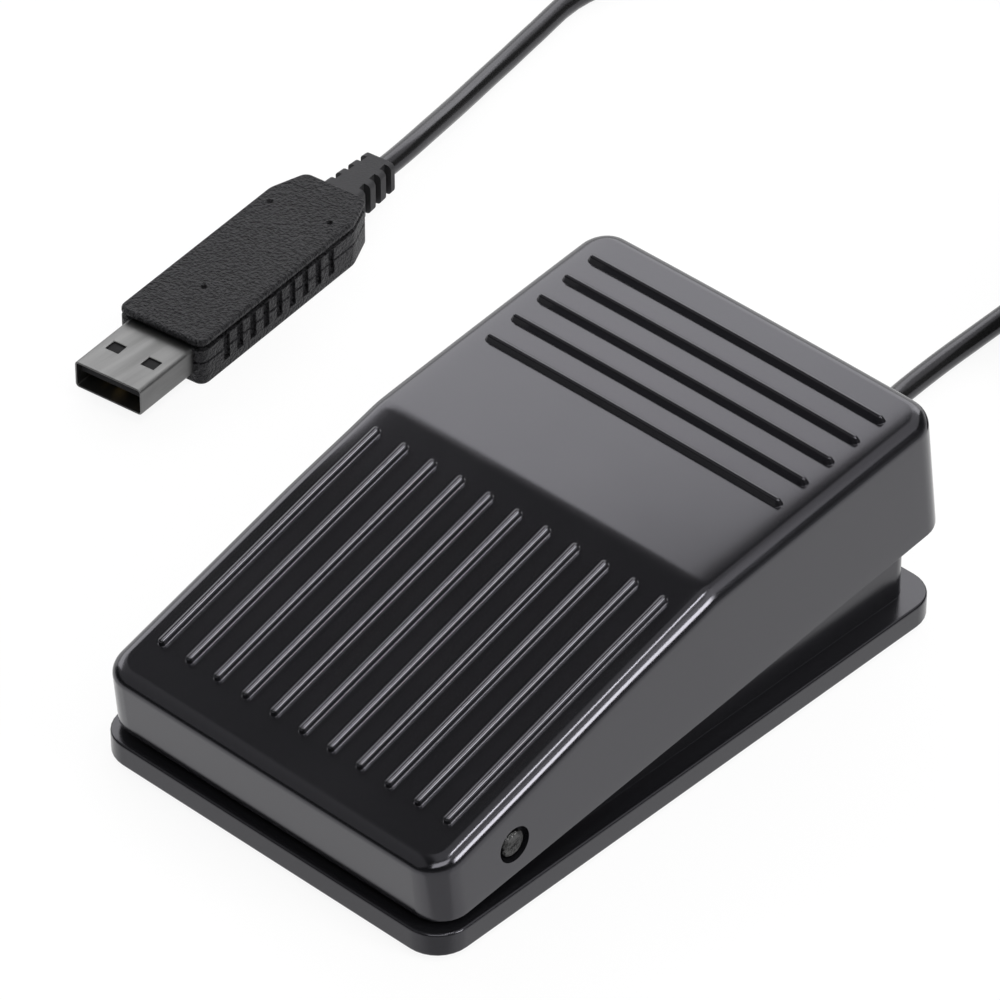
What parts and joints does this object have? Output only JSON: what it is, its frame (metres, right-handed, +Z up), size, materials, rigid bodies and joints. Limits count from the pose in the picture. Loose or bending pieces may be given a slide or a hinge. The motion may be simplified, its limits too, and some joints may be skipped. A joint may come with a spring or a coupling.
{
  "type": "usb foot pedal switch",
  "caption": "Low black foot pedal with a hinged ribbed tread over a base tray, a sprung lever switch inside, and a lead that ends in a USB plug.",
  "frame": {"origin": "on the floor, under the middle of the base and pedal together", "axes": "+X across the pedal to its right seen from its low front end, +Y from the low front end to the high rear end, +Z up"},
  "size_m": [0.1532, 0.2234, 0.0365],
  "materials": {
    "pedal_plastic": "gloss, fine moulded grain",
    "base_plastic": "satin gloss",
    "soft_rubber": "matte",
    "pin_steel": "darkened, satin",
    "spring_steel": "drawn wire and strip",
    "screw_steel": "zinc plated",
    "switch_plastic": "matte",
    "plunger_plastic": "matte",
    "contact_brass": "bright",
    "cable_jacket": "satin",
    "red_insulation": "satin",
    "black_insulation": "satin",
    "tie_strip": "woven strip",
    "plug_plastic": "fine spark texture",
    "shell_steel": "satin nickel",
    "tongue_plastic": "matte",
    "board_laminate": "satin"
  },
  "bodies": {
    "base": {"base_tray": "base_plastic", "rubber_foot_1": "soft_rubber", "rubber_foot_2": "soft_rubber", "rubber_foot_3": "soft_rubber", "rubber_foot_4": "soft_rubber", "hinge_pin": "pin_steel", "return_spring": "spring_steel", "switch_case": "switch_plastic", "switch_cover": "switch_plastic", "switch_terminal_1": "contact_brass", "switch_terminal_2": "contact_brass", "switch_terminal_3": "contact_brass", "switch_screw_1": "screw_steel", "switch_screw_2": "screw_steel", "cable_clamp": "base_plastic", "clamp_screw_1": "screw_steel", "clamp_screw_2": "screw_steel", "cable_grommet": "soft_rubber", "cable_tail": "cable_jacket", "lead_red": "red_insulation", "lead_black": "black_insulation", "cable_to_coil": "cable_jacket", "cable_coil": "cable_jacket", "coil_tie": "tie_strip", "cable_to_plug": "cable_jacket", "plug_boot": "soft_rubber", "plug_lower": "plug_plastic", "plug_upper": "plug_plastic", "usb_shell": "shell_steel", "usb_tongue": "tongue_plastic", "usb_contact_1": "contact_brass", "usb_contact_2": "contact_brass", "usb_contact_3": "contact_brass", "usb_contact_4": "contact_brass", "plug_board": "board_laminate", "plug_chip": "switch_plastic", "plug_crystal": "shell_steel"},
    "pedal": {"pedal_cover": "pedal_plastic"},
    "lever": {"switch_lever": "spring_steel"},
    "plunger": {"switch_plunger": "plunger_plastic"}
  },
  "joints": [
    {"name": "pedal_press", "type": "hinge", "parent": "base", "child": "pedal", "pos_m": [0, -0.03573, 0.0123], "axis": [-1, 0, 0], "range_deg": [0, 6.2], "stiffness_Nm_per_rad": 2, "springref_deg": -5.73, "deforming": ["return_spring"]},
    {"name": "lever_swing", "type": "hinge", "parent": "base", "child": "lever", "pos_m": [0.014, -0.00853, 0.02025], "axis": [-1, 0, 0], "range_deg": [0, 13.5]},
    {"name": "plunger_travel", "type": "slide", "parent": "base", "child": "plunger", "axis": [0, 0, -1], "range_m": [0, 0.00125]}
  ],
  "couplings": [
    {"joint": "lever_swing", "follows": "pedal_press", "ratio": 2.1485},
    {"joint": "plunger_travel", "follows": "pedal_press", "m_per_rad": 0.011072}
  ]
}
